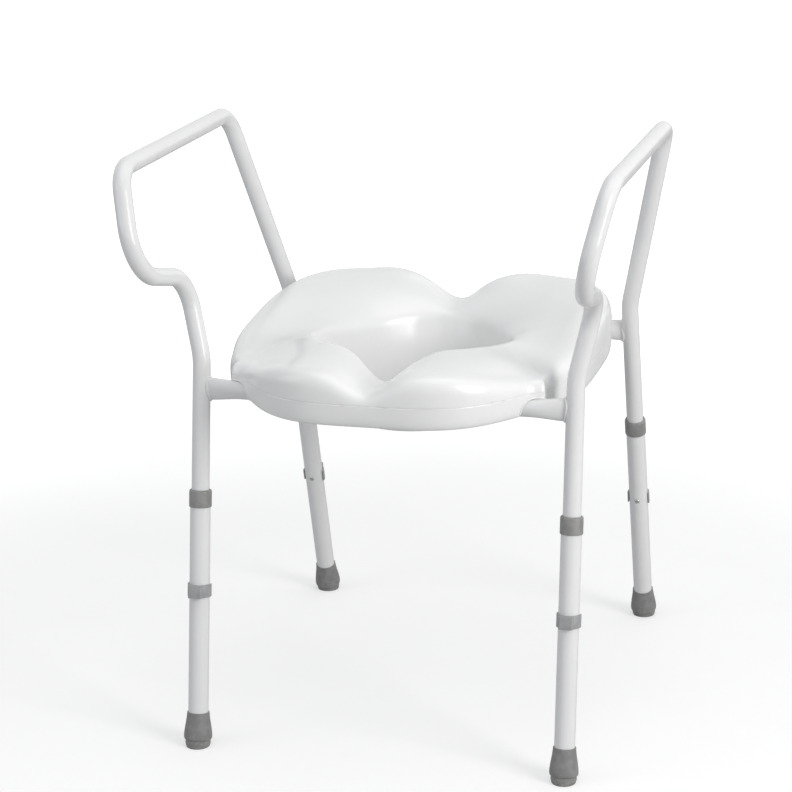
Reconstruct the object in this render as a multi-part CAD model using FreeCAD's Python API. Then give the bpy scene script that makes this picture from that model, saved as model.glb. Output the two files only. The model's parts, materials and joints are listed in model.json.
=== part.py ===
import FreeCAD, Part
import math
import os

# Raised toilet seat on a free-standing frame. Millimetres, +Z up, +Y to the rear, X across.
# The model is laid out with the front crossbar over y = 0, then moved so that the origin lies on the
# floor at the middle of the whole object's box.

V = FreeCAD.Vector
X = V(1, 0, 0)
Y = V(0, 1, 0)
Z = V(0, 0, 1)

# ---- Driving sizes: the frame -------------------------------------------------------------------
leg_offset = 235.0           # middle of the object to the centre line of a leg
bar_height = 450.0           # floor to the centre line of the crossbars
bar_spacing = 373.0          # front crossbar to rear crossbar, centre to centre
front_lean = 8.7             # degrees: a front leg leans to the rear as it rises
rear_lean = 15.5             # degrees: a rear leg leans to the front as it rises
flare_start = 38.0           # crossbars up to where the side frames begin to tilt outward
flare_angle = 12.7           # degrees of that tilt
jog_start = 135.0            # crossbars up to where the front leg turns forward
jog_reach = 152.0            # how far the jog goes forward
jog_rise = 37.0              # how far the jog rises on the way
arm_rise = 290.0             # crossbars up to the centre line of the armrests
arm_overhang = 90.0          # front crossbar forward to the armrest's front corner

frame_tube = 22.2            # outer diameter of the side frames and crossbars
frame_wall = 1.5
flare_radius = 100.0         # bend radii, on the centre line
jog_rear_radius = 45.0
jog_front_radius = 56.0
arm_radius = 38.0

bar_end_height = 28.0        # the squashed end of a crossbar, where it meets the leg
bar_end_depth = 13.0
bar_squash = 40.0            # length over which the crossbar goes from round to squashed
weld_width = 6.5
weld_rise = 1.6

# ---- Driving sizes: the telescopic legs ---------------------------------------------------------
leg_tube = 25.4              # outer diameter of the lower legs
leg_wall = 1.2
leg_length = 312.0           # length of a lower leg tube
leg_travel = 150.0           # how far a lower leg slides out
hole_pitch = 25.0            # one height step
clip_height = 201.0          # floor to the clip's pin, along the leg
pin_diameter = 6.0
pin_hole = 6.6
pin_reach = 0.6              # how far the pin's tip stands out behind the leg
tube_end_margin = 16.0       # frame tube left below its last hole

plug_lip = 4.0               # how far a guide plug stands out of its frame tube
plug_gap = 2.7               # guide plug to the last hole of its frame tube
plug_web = 2.0
slide_clearance = 0.1        # radial, between a guide and the tube that it runs on

collar_height = 22.0
collar_lap = 15.0            # how much of the collar grips the lower leg
collar_wall = 1.4

clip_body_height = 16.0
clip_wall = 1.9
clip_clearance = 0.3
clip_nose = 5.0              # how far the clip's head stands out of its ring
clip_nose_width = 17.0
clip_nose_round = 1.6
clip_wrap = 3.0              # how far the arms reach past the middle of the leg
pin_seat = 4.2               # how deep the pin sits in the clip's head

foot_height = 44.0
foot_base = 8.0              # rubber under the tube
foot_top_radius = 14.2
foot_bulge_radius = 17.8
foot_bulge_height = 13.0
foot_ring_height = 8.0       # the groove round the foot's base
foot_ring_depth = 1.2
foot_base_radius = 14.6
foot_sole = 5.0              # rubber left to press flat against the floor
washer_thickness = 1.5
washer_bore = 8.0

# ---- Driving sizes: the seat --------------------------------------------------------------------
skirt_drop = 10.0            # crossbars down to the faces that the saddle clips' flanges bear on
flange_recess = 0.7          # how deep those faces lie in the seat's underside
guard_drop = 58.0            # crossbars down to the lowest edge of the splash guard
guard_half_width = 97.0      # that edge is an oval
guard_front_gap = 60.0       # front crossbar to the front of the oval
guard_rear_gap = 77.0        # rear crossbar to the back of the oval
seat_side_gap = 7.0          # widest place of the seat to the centre line of a leg
seat_front_overhang = 93.0   # front crossbar to the seat's front edge
seat_rear_overhang = 29.0    # rear crossbar to its rear edge
seat_wall = 3.6
guard_wall = 3.6
channel_clearance = 1.4      # round a crossbar in the seat's channel

saddle_offset = 112.0        # middle of the seat to the middle of a saddle clip
saddle_length = 28.0
saddle_wall = 3.0
saddle_clearance = 0.3       # round a crossbar in a saddle clip
saddle_flange = 14.0         # how far its flange reaches towards the middle of the seat
pocket_clearance = 0.6       # round a saddle clip in the seat
screw_spacing = 16.0         # between the two screws of a saddle clip
screw_diameter = 4.0
screw_depth = 13.0           # how far a screw goes into the seat
screw_head = 8.0
screw_head_height = 2.4
boss_diameter = 11.0

# The seat's ring, one station after another from the front round the right-hand side to the rear:
# skirt x, skirt y, rim x, rim y, the heights of the shoulder, of the crest and of the rim, how broadly
# the shoulder rolls over into the skirt, and how deep a groove runs down the skirt. Heights are above
# the crossbars. The outline is stretched in x and y to the seat's width and length. The one groove is
# behind each front lobe.
seat_stations = [
    (0, -93, 0, 12, 31, 27, 22, 12, 0),
    (40, -93, 18, 14, 49, 41, 32, 14, 0),
    (80, -89, 41, 29, 56, 55, 49, 15, 0),
    (119, -72, 64, 36, 52, 57, 59, 15, 0),
    (150, -43, 85, 46, 43, 53, 60, 14, 0),
    (172, -14, 101, 61, 36, 49, 59, 13, 0),
    (187, 0, 110, 75, 34, 47, 57, 13, 0),
    (197, 6, 115, 88, 34, 46, 55, 12, 0),
    (200, 12, 118, 99, 35, 45, 53, 12, 7),
    (204, 24, 120, 112, 39, 44, 51, 13, 0),
    (213, 54, 122, 134, 44, 44, 47, 16, 0),
    (224, 102, 121, 160, 49, 44, 42, 18, 0),
    (228, 160, 116, 184, 55, 46, 38, 19, 0),
    (228, 222, 108, 212, 61, 48, 32, 19, 0),
    (225, 284, 96, 242, 64, 53, 27, 19, 0),
    (212, 336, 80, 268, 67, 57, 26, 19, 0),
    (184, 378, 61, 288, 68, 58, 28, 19, 0),
    (143, 397, 44, 302, 68, 57, 28, 19, 0),
    (98, 402, 28, 311, 69, 52, 28, 19, 0),
    (49, 402, 13, 317, 54, 42, 28, 18, 0),
    (0, 402, 0, 318, 31, 31, 28, 15, 0),
]

# ---- Worked out from them -----------------------------------------------------------------------
flare_height = bar_height + flare_start
jog_height = bar_height + jog_start
arm_height = bar_height + arm_rise
frame_radius = frame_tube / 2
frame_bore = frame_radius - frame_wall
leg_radius = leg_tube / 2
leg_bore = leg_radius - leg_wall
front_slope = math.tan(math.radians(front_lean))
rear_slope = math.tan(math.radians(rear_lean))
flare_slope = math.tan(math.radians(flare_angle))
tube_end = clip_height - leg_travel - tube_end_margin
leg_bottom = foot_base + washer_thickness
leg_top = leg_bottom + leg_length
step_count = int(round(leg_travel / hole_pitch))
clip_bore = leg_radius + clip_clearance
clip_outer = clip_bore + clip_wall
clip_low = clip_height - clip_body_height / 2

skirt_bottom = bar_height - skirt_drop
guard_bottom = bar_height - guard_drop
seat_half_width = leg_offset - seat_side_gap
seat_length = seat_front_overhang + bar_spacing + seat_rear_overhang
guard_half_length = (bar_spacing - guard_front_gap - guard_rear_gap) / 2
guard_middle = guard_front_gap + guard_half_length
saddle_bore = frame_radius + saddle_clearance
saddle_half = saddle_bore + saddle_wall
saddle_top = bar_height + saddle_half
saddle_low = skirt_bottom - saddle_wall
screw_reach = saddle_half + saddle_flange / 2


def frame_point(y, z):
    """A point of the right-hand side frame's centre line, which tilts outward above the flare."""
    return V(leg_offset + flare_slope * max(0.0, z - flare_height), y, z)


def front_y(z):
    """Where the front leg's centre line is at a height: over y = 0 at the crossbar."""
    return (z - bar_height) * front_slope


def rear_y(z):
    return bar_spacing - (z - bar_height) * rear_slope


def cylinder(radius, start, direction, length):
    return Part.makeCylinder(radius, length, start, direction)


def tube(outer, inner, start, direction, length):
    return cylinder(outer, start, direction, length).cut(cylinder(inner, start, direction, length))


def revolved(points):
    """The solid that a closed outline of (radius, height) points makes when turned round Z."""
    wire = Part.makePolygon([V(r, 0, z) for r, z in points + points[:1]])
    return Part.Face(wire).revolve(V(0, 0, 0), Z, 360)


def mirrored(shape):
    return shape.mirror(V(0, 0, 0), X)


# ---- Side frames: straight runs joined by tangent bends -----------------------------------------
def bend(corner, before, after, radius):
    """Where a bend round a corner starts and ends, and the corner's turn in degrees."""
    arriving = (corner - before).normalize()
    leaving = (after - corner).normalize()
    turn = arriving.getAngle(leaving)
    setback = radius * math.tan(turn / 2)
    start = corner - arriving * setback
    end = corner + leaving * setback
    axis = arriving.cross(leaving).normalize()
    centre = start + axis.cross(arriving).normalize() * radius
    return start, end, centre, axis, math.degrees(turn), arriving


def bent_tube(corners, radii, outer, inner):
    """A tube along a line of corners, each rounded to its radius."""
    pieces = []
    at = corners[0]
    for number, radius in enumerate(radii, start=1):
        start, end, centre, axis, turn, arriving = bend(corners[number], corners[number - 1],
                                                        corners[number + 1], radius)
        pieces.append(tube(outer, inner, at, arriving, (start - at).Length))
        ring = Part.Face([Part.Wire(Part.makeCircle(outer, start, arriving)),
                          Part.Wire(Part.makeCircle(inner, start, arriving))])
        pieces.append(ring.revolve(centre, axis, turn))
        at = end
    last = corners[-1] - at
    pieces.append(tube(outer, inner, at, last, last.Length))
    return pieces[0].multiFuse(pieces[1:]).removeSplitter()


def leg_frame(is_front):
    """A placement whose Z runs up a right-hand leg from the floor, and whose -Y faces its clip."""
    if is_front:
        turn = FreeCAD.Rotation(X, -front_lean)
        return FreeCAD.Placement(V(leg_offset, front_y(0), 0), turn)
    turn = FreeCAD.Rotation(X, rear_lean).multiply(FreeCAD.Rotation(Z, 180))
    return FreeCAD.Placement(V(leg_offset, rear_y(0), 0), turn)


def height_holes():
    """The cutters of one leg's row of pin holes, one for each height step."""
    holes = []
    for step in range(step_count + 1):
        at = V(0, -leg_tube, clip_height - step * hole_pitch)
        holes.append(cylinder(pin_hole / 2, at, Y, 2 * leg_tube))
    return holes


def side_frame():
    front_end = leg_frame(True).multVec(V(0, 0, tube_end))
    rear_end = leg_frame(False).multVec(V(0, 0, tube_end))
    jog_rear = frame_point(front_y(jog_height), jog_height)
    jog_front = frame_point(front_y(jog_height) - jog_reach, jog_height + jog_rise)
    corners = [
        front_end,
        frame_point(front_y(flare_height), flare_height),
        jog_rear,
        jog_front,
        frame_point(-arm_overhang, arm_height),
        frame_point(rear_y(arm_height), arm_height),
        frame_point(rear_y(flare_height), flare_height),
        rear_end,
    ]
    radii = [flare_radius, jog_rear_radius, jog_front_radius, arm_radius, arm_radius, flare_radius]
    body = bent_tube(corners, radii, frame_radius, frame_bore)
    for is_front in (True, False):
        for hole in height_holes():
            hole.Placement = leg_frame(is_front)
            body = body.cut(hole)
    return body


# ---- Crossbars and their welds ------------------------------------------------------------------
def oval(x, height, depth):
    """A wire across a crossbar at x: an oval, taller than it is deep, round the bar's centre line."""
    shape = Part.Ellipse(V(x, 0, height / 2), V(x, depth / 2, 0), V(x, 0, 0)).toShape()
    return Part.Wire(shape)


def bar_solid(inset):
    """A crossbar's outer shape, or its inside when inset is the wall."""
    end_height = bar_end_height - 2 * inset
    end_depth = bar_end_depth - 2 * inset
    middle = frame_tube - 2 * inset
    round_half = leg_offset - frame_radius - bar_squash
    solid = cylinder(middle / 2, V(-round_half, 0, 0), X, 2 * round_half)
    halfway = oval(round_half + bar_squash * 0.45, (middle + end_height) / 2, (middle + end_depth) / 2)
    squashed = Part.makeLoft([
        oval(round_half, middle, middle),
        halfway,
        oval(round_half + bar_squash * 0.85, end_height, end_depth),
        oval(leg_offset, end_height, end_depth),
    ], True)
    return solid.fuse([squashed, mirrored(squashed)])


def frame_tubes(is_front):
    """The side frames' outer solids where a crossbar meets them, round the crossbar's own middle."""
    lean = front_lean if is_front else -rear_lean
    direction = V(0, math.sin(math.radians(lean)), math.cos(math.radians(lean)))
    low_end = V(leg_offset, 0, 0) - direction * bar_end_height
    right = cylinder(frame_radius, low_end, direction, 2 * bar_end_height)
    return right.fuse(mirrored(right))


def crossbar(is_front):
    bar = bar_solid(0).cut(bar_solid(frame_wall)).cut(frame_tubes(is_front))
    return max(bar.Solids, key=lambda solid: solid.Volume)


def weld_beads(is_front):
    """The two rings of weld between a crossbar and the side frames."""
    start = leg_offset - math.sqrt(frame_radius ** 2 - (bar_end_depth / 2) ** 2) - weld_width
    along = V(weld_width + frame_radius, 0, 0)
    rim = Part.Face(oval(start, bar_end_height + 2 * weld_rise, bar_end_depth + 2 * weld_rise))
    ring = rim.extrude(along).cut(bar_solid(0)).cut(frame_tubes(is_front))
    bead = min(ring.Solids, key=lambda solid: solid.BoundBox.XMin)
    return [bead, mirrored(bead)]


# ---- Parts of a leg, on the leg's own axis ------------------------------------------------------
def lower_leg():
    body = tube(leg_radius, leg_bore, V(0, 0, leg_bottom), Z, leg_length)
    return body.cut(cylinder(pin_hole / 2, V(0, -leg_tube, clip_height), Y, 2 * leg_tube))


def guide_plug():
    """A plug in the frame tube's end, with a lip that runs in the lower leg."""
    lip = leg_bore - slide_clearance
    low = tube_end - plug_lip
    high = tube_end + tube_end_margin - pin_hole / 2 - plug_gap
    chamfer = 0.8
    return revolved([
        (0, low), (lip - chamfer, low), (lip, low + chamfer), (lip, tube_end), (frame_bore, tube_end),
        (frame_bore, high - 2 * chamfer), (frame_bore - chamfer, high), (frame_bore - 2 * chamfer, high),
        (frame_bore - 2 * chamfer, tube_end + plug_web), (0, tube_end + plug_web),
    ])


def leg_collar():
    """A collar capped over the lower leg, whose bore guides the frame tube."""
    low = leg_top - collar_lap
    high = low + collar_height
    bore = frame_radius + slide_clearance
    outer = leg_radius + collar_wall
    edge = 0.6
    cap_slope = 2.4
    return revolved([
        (leg_radius, low), (outer - edge, low), (outer, low + edge), (outer, high - cap_slope),
        (outer - edge, high - edge), (outer - cap_slope, high), (bore + edge, high), (bore, high - edge),
        (bore, leg_top), (leg_radius, leg_top),
    ])


def height_clip():
    """A U that hugs the lower leg from the front, with a square head that holds the pin."""
    body = cylinder(clip_outer, V(0, 0, clip_low), Z, clip_body_height)
    arms = Part.makeBox(2 * clip_outer, clip_wrap, clip_body_height, V(-clip_outer, 0, clip_low))
    behind = Part.makeBox(4 * clip_outer, 2 * clip_outer, clip_body_height,
                          V(-2 * clip_outer, clip_wrap, clip_low))
    head = Part.makeBox(clip_nose_width, clip_outer + clip_nose, clip_body_height,
                        V(-clip_nose_width / 2, -clip_outer - clip_nose, clip_low))
    body = body.fuse(arms).cut(behind).fuse(head).removeSplitter()
    upright = [edge for edge in body.Edges
               if edge.BoundBox.YMax < -clip_outer and edge.BoundBox.ZLength > clip_body_height / 2]
    body = body.makeFillet(clip_nose_round, upright)
    bored = cylinder(clip_bore, V(0, 0, clip_low), Z, clip_body_height)
    bored = bored.fuse(Part.makeBox(2 * clip_bore, clip_wrap, clip_body_height, V(-clip_bore, 0, clip_low)))
    pin_start = V(0, -clip_bore - pin_seat, clip_height)
    return body.cut([bored, cylinder(pin_diameter / 2, pin_start, Y, clip_bore + pin_seat)])


def clip_pin():
    start = -clip_bore - pin_seat
    pin = cylinder(pin_diameter / 2, V(0, start, clip_height), Y, leg_radius + pin_reach - start)
    tip = [edge for edge in pin.Edges if edge.BoundBox.YMin > 0]
    return pin.makeChamfer(pin_reach, tip)


def foot_washer():
    return tube(leg_radius - leg_wall / 2, washer_bore / 2, V(0, 0, foot_base), Z, washer_thickness)


def rubber_foot():
    """A ferrule round the lower leg's end. Its sole is pressed flat where it stands on the floor."""
    sole = -foot_sole
    groove = foot_bulge_radius - foot_ring_depth
    lip = 0.6
    return revolved([
        (0, sole), (foot_base_radius - 4, sole), (foot_base_radius - 1, sole + 3.2), (foot_base_radius, 0),
        (foot_base_radius + 1.2, foot_ring_height - 3), (foot_base_radius + 1.3, foot_ring_height - lip),
        (groove - lip, foot_ring_height), (foot_bulge_radius - lip, foot_ring_height + 2 * lip),
        (foot_bulge_radius, foot_bulge_height), (foot_bulge_radius - lip, foot_bulge_height + 7),
        (foot_top_radius + lip, foot_height - 9), (foot_top_radius, foot_height - 3),
        (foot_top_radius, foot_height - lip), (foot_top_radius - lip, foot_height), (leg_radius, foot_height),
        (leg_radius, foot_base), (0, foot_base),
    ])


# ---- The seat -----------------------------------------------------------------------------------
def fitted_stations():
    """The stations, stretched to the seat's width and length and set over the crossbars."""
    front = seat_stations[0][1]
    across = seat_half_width / max(row[0] for row in seat_stations)
    along = seat_length / (seat_stations[-1][1] - front)
    for skirt_x, skirt_y, rim_x, rim_y, *heights in seat_stations:
        yield (skirt_x * across, (skirt_y - front) * along - seat_front_overhang,
               rim_x * across, (rim_y - front) * along - seat_front_overhang, *heights)


def ring_rows(hollow):
    """The control rows of the seat's skin, or of the hollow inside it, round the whole ring."""
    half = [section(station, hollow) for station in fitted_stations()]
    other = [[V(-p.x, p.y, p.z) for p in row] for row in half[-2:0:-1]]
    return poles_through(half + other)


def poles_through(rows):
    """Control rows whose smooth ring passes through the given rows."""
    count = len(rows)
    poles = [list(row) for row in rows]
    for _ in range(30):
        blended = [[(before + at * 4 + after) / 6 for before, at, after in zip(*neighbours)]
                   for neighbours in zip(poles[-1:] + poles[:-1], poles, poles[1:] + poles[:1])]
        for number in range(count):
            poles[number] = [pole + wanted - smooth for pole, wanted, smooth
                             in zip(poles[number], rows[number], blended[number])]
    return poles


def section(station, hollow):
    """One section through the seat: its skin, or the skin of the hollow inside it.

    Each point is (distance outward from the rim, height above the crossbars). Below the rim the
    distance is negative and runs down the funnel, towards the oval of its lowest edge.
    """
    skirt_x, skirt_y, rim_x, rim_y, shoulder, crest, rim, roll, groove = station
    rim_at = V(rim_x, rim_y, 0)
    reach = V(skirt_x, skirt_y, 0) - rim_at
    width = reach.Length
    side = width - groove
    spoke = rim_at - V(0, guard_middle, 0)
    edge = spoke / math.hypot(spoke.x / guard_half_width, spoke.y / guard_half_length)
    funnel = spoke - edge
    taper = funnel.Length
    bottom = -skirt_drop - flange_recess
    lowest = -guard_drop

    def wall(height, offset=0.0):
        return offset - taper * (rim - height) / (rim - lowest), height

    skin = [
        # up the funnel to the rim
        wall(bottom + 4), wall(rim - 15, 2), (1.5, rim - 1.5),
        # over the crest to the shoulder
        (width * 0.18, rim * 0.45 + crest * 0.55), (width * 0.40, crest),
        (width * 0.6, crest * 0.4 + shoulder * 0.6), (width - roll * 1.9, shoulder + 0.3),
        # down the skirt and under its rolled edge
        (width - groove / 2 - roll * 0.55, shoulder - roll * 0.05), (side + 0.5, shoulder - roll * 0.75),
        (side + 0.5, shoulder * 0.4 + bottom * 0.6), (side - 0.5, bottom + 9), (side - 3, bottom + 2),
        (side - 9, bottom - 0.5), (width - 24, bottom),
        # back across the underside
        (width * 0.4, bottom),
    ]
    if hollow:
        skin = inset_outline(skin + [wall(bottom, 8)], seat_wall)
    else:
        skin += [
            # down the outer face of the guard, round its edge and up again
            wall(bottom, 14), wall(bottom - 3, guard_wall + 2), wall(bottom - 14, guard_wall),
            wall(lowest + 12, guard_wall), wall(lowest + 1, guard_wall), wall(lowest - 1, guard_wall / 2),
            wall(lowest + 1), wall(lowest + 16),
        ]
    outward = reach / width
    inward = funnel / taper
    return [rim_at + (outward if t > 0 else inward) * t + V(0, 0, bar_height + z) for t, z in skin]


def inset_outline(points, distance):
    """The points of a closed outline, each moved inward along the bisector of its corner."""
    moved = []
    for number, (t, z) in enumerate(points):
        before = points[number - 1]
        after = points[(number + 1) % len(points)]
        arriving = V(t - before[0], z - before[1], 0).normalize()
        leaving = V(after[0] - t, after[1] - z, 0).normalize()
        bisector = V(arriving.y + leaving.y, -arriving.x - leaving.x, 0).normalize()
        share = max(0.6, bisector.dot(V(arriving.y, -arriving.x, 0)))
        moved.append((t + bisector.x * distance / share, z + bisector.y * distance / share))
    return moved


def ring_solid(rows):
    """A smooth closed ring whose control points are rows of points, closed both ways."""
    along = len(rows)
    across = len(rows[0])
    surface = Part.BSplineSurface()
    surface.buildFromPolesMultsKnots(rows, [1] * (along + 1), [1] * (across + 1),
                                     list(range(along + 1)), list(range(across + 1)), True, True, 3, 3)
    solid = Part.makeSolid(Part.makeShell([surface.toShape()]))
    if solid.Volume < 0:
        solid.reverse()
    return solid


def slot(y, half, top, x_from, x_to):
    """A box round a crossbar's centre line, up to a height and open below the seat's skirt."""
    below = skirt_bottom - 2 * saddle_wall
    return Part.makeBox(x_to - x_from, 2 * half, top - below, V(x_from, y - half, below))


def channel(y, radius, x_from, x_to):
    """The space of a crossbar: a slot with a round top."""
    round_top = cylinder(radius, V(x_from, y, bar_height), X, x_to - x_from)
    return slot(y, radius, bar_height, x_from, x_to).fuse(round_top)


def saddle_places():
    """Each saddle clip's middle, and which way along y its flange points."""
    for y, inward in ((0.0, 1), (bar_spacing, -1)):
        for side in (-1, 1):
            yield side * saddle_offset, y, inward


def screw_places():
    for x, y, inward in saddle_places():
        for side in (-1, 1):
            yield x + side * screw_spacing / 2, y + inward * screw_reach


def bar_spaces(extra):
    """What the crossbars and saddle clips need clear in the seat, grown by extra on every side."""
    half_pocket = saddle_length / 2 + pocket_clearance + extra
    spaces = [channel(y, frame_radius + channel_clearance + extra, -leg_offset, leg_offset)
              for y in (0.0, bar_spacing)]
    for x, y, _ in saddle_places():
        spaces.append(slot(y, saddle_half + pocket_clearance + extra, saddle_top + pocket_clearance + extra,
                           x - half_pocket, x + half_pocket))
    return spaces


def seat():
    """A blown plastic ring, hollow inside, with solid bosses for the saddle clips' screws."""
    flange_spaces = [flange(*place, pocket_clearance) for place in saddle_places()]
    body = ring_solid(ring_rows(False)).cut(bar_spaces(0) + flange_spaces)
    hollow = ring_solid(ring_rows(True)).cut(bar_spaces(seat_wall))
    tallest = max(row[4] for row in seat_stations) + skirt_drop
    bosses = [cylinder(boss_diameter / 2, V(x, y, skirt_bottom), Z, tallest) for x, y in screw_places()]
    holes = [cylinder(screw_diameter / 2, V(x, y, skirt_bottom - 1), Z, screw_depth + 1)
             for x, y in screw_places()]
    return body.cut(hollow.cut(bosses)).cut(holes)


def flange(x, y, inward, extra=0.0):
    """A saddle clip's flange, or the space that it needs when grown by extra on every side but the top."""
    reach = saddle_half + saddle_flange + extra
    half = saddle_length / 2 + extra
    corner = V(x - half, y + min(0, inward * reach), saddle_low - extra)
    return Part.makeBox(2 * half, reach, saddle_wall + extra, corner)


def saddle(x, y, inward):
    """A clip over a crossbar, open below, with a flange under the seat for two screws."""
    corner = V(x - saddle_length / 2, y - saddle_half, saddle_low)
    block = Part.makeBox(saddle_length, 2 * saddle_half, saddle_top - saddle_low, corner)
    cutters = [channel(y, saddle_bore, x - saddle_length, x + saddle_length)]
    for side in (-1, 1):
        at = V(x + side * screw_spacing / 2, y + inward * screw_reach, saddle_low)
        cutters.append(cylinder(screw_diameter / 2, at, Z, saddle_wall))
    return block.fuse(flange(x, y, inward)).removeSplitter().cut(cutters)


def screw(x, y):
    taper = screw_head / 8
    head = Part.makeCone(screw_head / 2 - taper, screw_head / 2, screw_head_height,
                         V(x, y, saddle_low - screw_head_height), Z)
    return head.fuse(cylinder(screw_diameter / 2, V(x, y, saddle_low), Z, saddle_wall + screw_depth))


# ---- Every node ---------------------------------------------------------------------------------
def frame_nodes():
    right = side_frame()
    nodes = {"side_frame_right": right, "side_frame_left": mirrored(right)}
    beads = []
    for row, y, is_front in (("front", 0.0, True), ("rear", bar_spacing, False)):
        place = V(0, y, bar_height)
        nodes["crossbar_" + row] = crossbar(is_front).translated(place)
        beads += [bead.translated(place) for bead in weld_beads(is_front)]
    nodes["crossbar_welds"] = Part.makeCompound(beads)
    return nodes


def seat_nodes():
    nodes = {"seat": seat()}
    names = ("front_left", "front_right", "rear_left", "rear_right")
    for name, place in zip(names, saddle_places()):
        nodes["saddle_clip_" + name] = saddle(*place)
    nodes["saddle_screws"] = Part.makeCompound([screw(x, y) for x, y in screw_places()])
    return nodes


def leg_nodes():
    nodes = {}
    pieces = {
        "lower_leg": lower_leg(),
        "leg_collar": leg_collar(),
        "height_clip": height_clip(),
        "clip_pin": clip_pin(),
        "foot_washer": foot_washer(),
        "rubber_foot": rubber_foot(),
        "guide_plug": guide_plug(),
    }
    for row, is_front in (("front", True), ("rear", False)):
        corner = leg_frame(is_front).Base - V(foot_height, foot_height, foot_height)
        under_floor = Part.makeBox(2 * foot_height, 2 * foot_height, foot_height, corner)
        for kind, shape in pieces.items():
            piece = shape.copy()
            piece.Placement = leg_frame(is_front)
            if kind == "rubber_foot":
                piece = piece.cut(under_floor)
            nodes[kind + "_" + row + "_right"] = piece
            nodes[kind + "_" + row + "_left"] = mirrored(piece)
    return nodes


def middle_of(nodes):
    """The middle of the whole object's box, front to rear."""
    boxes = [shape.optimalBoundingBox(False) for shape in nodes.values()]
    return (min(box.YMin for box in boxes) + max(box.YMax for box in boxes)) / 2


nodes = frame_nodes() | seat_nodes() | leg_nodes()
to_origin = V(0, -middle_of(nodes), 0)
print("front crossbar lies at y =", round(to_origin.y, 3))
os.makedirs("parts", exist_ok=True)
for name, shape in sorted(nodes.items()):
    shape.translate(to_origin)
    shape.exportStep("parts/" + name + ".step")
    print(name, len(shape.Solids), shape.isValid(), round(shape.Volume))
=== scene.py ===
# %% [markdown]
# # A raised toilet seat on a frame with arms
#
# The object is a glossy moulded seat that rests on two crossbars between a pair of bent tubes. Each
# tube is front leg, armrest and rear leg in one, and grey plastic collars, clips and rubber feet finish
# the telescopic legs. The construction comes packed from CAD and is loaded first. It never moves, so
# every piece made here takes its place from it. What this lesson adds is the look: a seat with a clean
# mesh, its parting line and the lips of its notches, the weld beads, the rounded plastic parts, and a
# finish for each surface.

import json
import math

import bpy
from mathutils import Matrix, Vector
from mathutils.bvhtree import BVHTree


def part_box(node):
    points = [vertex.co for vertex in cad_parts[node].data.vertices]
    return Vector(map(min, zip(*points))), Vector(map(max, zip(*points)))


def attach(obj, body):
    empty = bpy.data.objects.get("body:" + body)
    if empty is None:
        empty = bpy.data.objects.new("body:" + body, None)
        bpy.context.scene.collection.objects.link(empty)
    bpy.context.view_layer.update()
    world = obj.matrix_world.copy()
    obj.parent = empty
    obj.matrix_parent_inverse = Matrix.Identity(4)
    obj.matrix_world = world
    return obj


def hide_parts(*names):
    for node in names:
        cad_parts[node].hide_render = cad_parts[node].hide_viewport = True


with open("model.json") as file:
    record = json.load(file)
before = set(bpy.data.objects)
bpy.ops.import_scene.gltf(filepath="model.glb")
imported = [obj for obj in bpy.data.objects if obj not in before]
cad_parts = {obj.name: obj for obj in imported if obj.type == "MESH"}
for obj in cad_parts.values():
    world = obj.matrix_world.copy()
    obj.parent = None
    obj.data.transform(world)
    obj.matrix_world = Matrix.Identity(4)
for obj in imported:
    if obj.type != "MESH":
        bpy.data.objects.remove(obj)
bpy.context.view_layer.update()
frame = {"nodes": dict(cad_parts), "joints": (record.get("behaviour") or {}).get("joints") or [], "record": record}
MM = 0.001
CORNERS = ("front_left", "front_right", "rear_left", "rear_right")
joints = {joint["name"]: joint for joint in frame["joints"]}
for plain in list(bpy.data.materials):
    bpy.data.materials.remove(plain)

# %% [markdown]
# ## The view
#
# The eye stands in front of the seat, a little to its right and a little above it, with a long lens. A
# long lens keeps the legs nearly parallel. The camera is turned round the object by an azimuth, lifted
# by an elevation and then rolled a touch, which is easier to read than three raw angles.

# %% Camera
VIEW_AIM = Vector((0.0, -0.142, 0.439))
VIEW_DISTANCE = 3.005
VIEW_AZIMUTH = math.radians(15.75)
VIEW_ELEVATION = math.radians(16.54)
VIEW_ROLL = math.radians(-1.155)
VIEW_LENS = 110.9
FILM_WIDTH = 36.0

view_turn = (Matrix.Rotation(VIEW_AZIMUTH, 4, "Z")
             @ Matrix.Rotation(math.pi / 2 - VIEW_ELEVATION, 4, "X")
             @ Matrix.Rotation(VIEW_ROLL, 4, "Z"))
camera_data = bpy.data.cameras.new("view")
camera_data.sensor_width = FILM_WIDTH
camera_data.lens = VIEW_LENS
camera = bpy.data.objects.new("view", camera_data)
camera.matrix_world = Matrix.Translation(VIEW_AIM) @ view_turn @ Matrix.Translation((0, 0, VIEW_DISTANCE))
bpy.context.scene.collection.objects.link(camera)
bpy.context.scene.camera = camera
print("camera at", [round(value, 3) for value in camera.matrix_world.translation])

# %% [markdown]
# ## Working by hand
#
# Blender's operators act on whatever is selected, and loading the frame leaves everything selected. So
# the first helper lets go of everything, and the second takes hold of one piece. The others open a
# piece for editing, pick its points by a rule, and apply a modifier.

# %% Hands
def let_go():
    bpy.ops.object.select_all(action="DESELECT")


def take(piece):
    let_go()
    piece.select_set(True)
    bpy.context.view_layer.objects.active = piece


def edit(mode):
    """Opens the piece in hand for editing, with nothing selected, in VERT, EDGE or FACE mode."""
    bpy.ops.object.mode_set(mode="EDIT")
    bpy.ops.mesh.select_mode(type=mode)
    bpy.ops.mesh.select_all(action="DESELECT")


def close():
    bpy.ops.object.mode_set(mode="OBJECT")


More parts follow.
